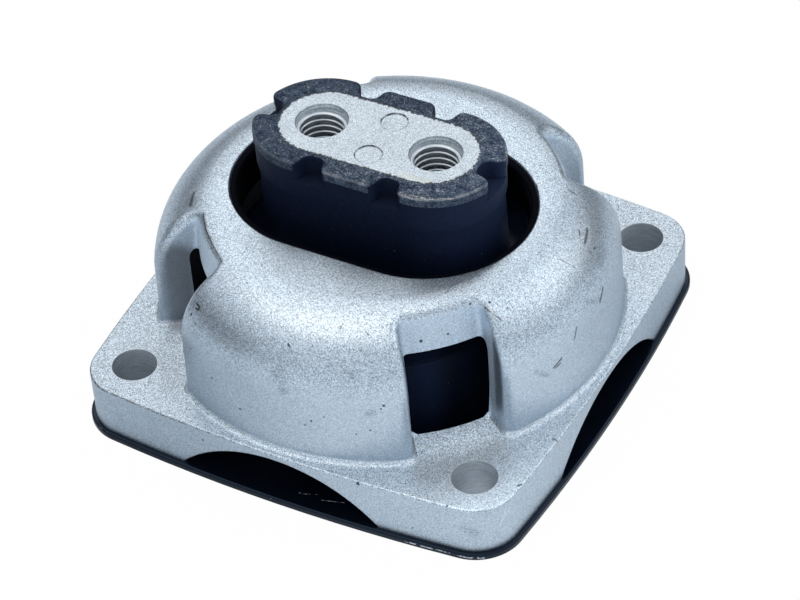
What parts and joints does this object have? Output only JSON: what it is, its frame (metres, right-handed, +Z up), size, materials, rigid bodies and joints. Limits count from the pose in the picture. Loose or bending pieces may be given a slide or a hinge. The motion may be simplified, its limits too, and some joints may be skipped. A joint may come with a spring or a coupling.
{
  "type": "engine mount",
  "caption": "Engine mount: a domed cast aluminium cage with bolt pockets on a steel base plate, round a rubber spring with a stadium-shaped core that has two tapped holes.",
  "frame": {"origin": "middle of the base plate's underside", "axes": "+Z up out of the core's tapped face; +X along the core's long axis, through both tapped holes"},
  "size_m": [0.1194, 0.1194, 0.0662],
  "materials": {
    "cast_aluminium": "shot-blasted casting",
    "core_aluminium": "milled top, grainy",
    "spring_rubber": "satin moulded rubber",
    "liner_rubber": "matt moulded rubber",
    "coated_steel": "gloss black coating"
  },
  "bodies": {
    "root": {"housing": "cast_aluminium", "core": "core_aluminium", "rubber_spring": "spring_rubber", "mouth_liner": "liner_rubber", "base_plate": "coated_steel"}
  },
  "joints": []
}
